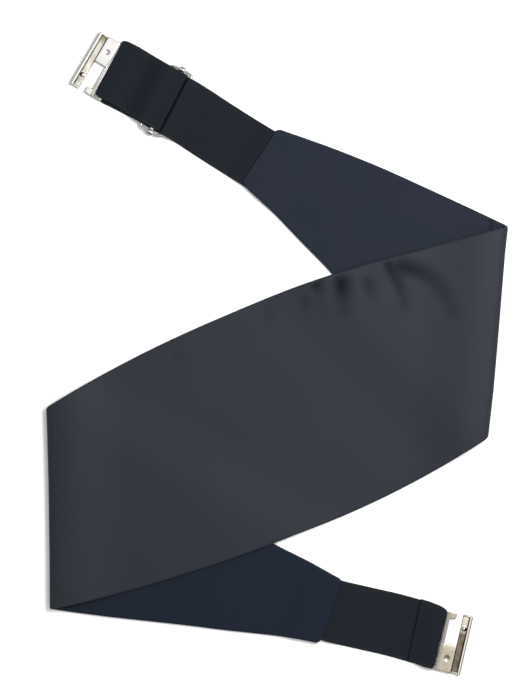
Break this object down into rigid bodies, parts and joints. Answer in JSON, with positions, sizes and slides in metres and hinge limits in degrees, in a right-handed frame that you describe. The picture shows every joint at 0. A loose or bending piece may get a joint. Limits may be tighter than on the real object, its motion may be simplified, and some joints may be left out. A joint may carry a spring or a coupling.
{
  "type": "cummerbund",
  "caption": "Plain black satin cummerbund laid flat with both ends folded under, on elastic straps with a slide and hook clasps.",
  "frame": {"origin": "middle of the bottom of the bounding box, on the surface that the sash lies on", "axes": "+Z up, +Y across the centre panel towards the end with the long strap, +X to the right as seen from above with +Y up"},
  "size_m": [0.2832, 0.3928, 0.0087],
  "materials": {
    "satin": "satin weave, soft sheen",
    "lining": "smooth matte lining",
    "elastic": "fine lengthwise ribs, matte",
    "nickel": "nickel plated stamping, rubbed",
    "steel": "plated wire"
  },
  "bodies": {
    "root": {"satin_shell": "satin", "lining": "lining", "elastic_long": "elastic", "elastic_short": "elastic", "slide_frame": "steel", "slide_bar": "steel", "clasp_long": "nickel", "clasp_short": "nickel"}
  },
  "joints": []
}
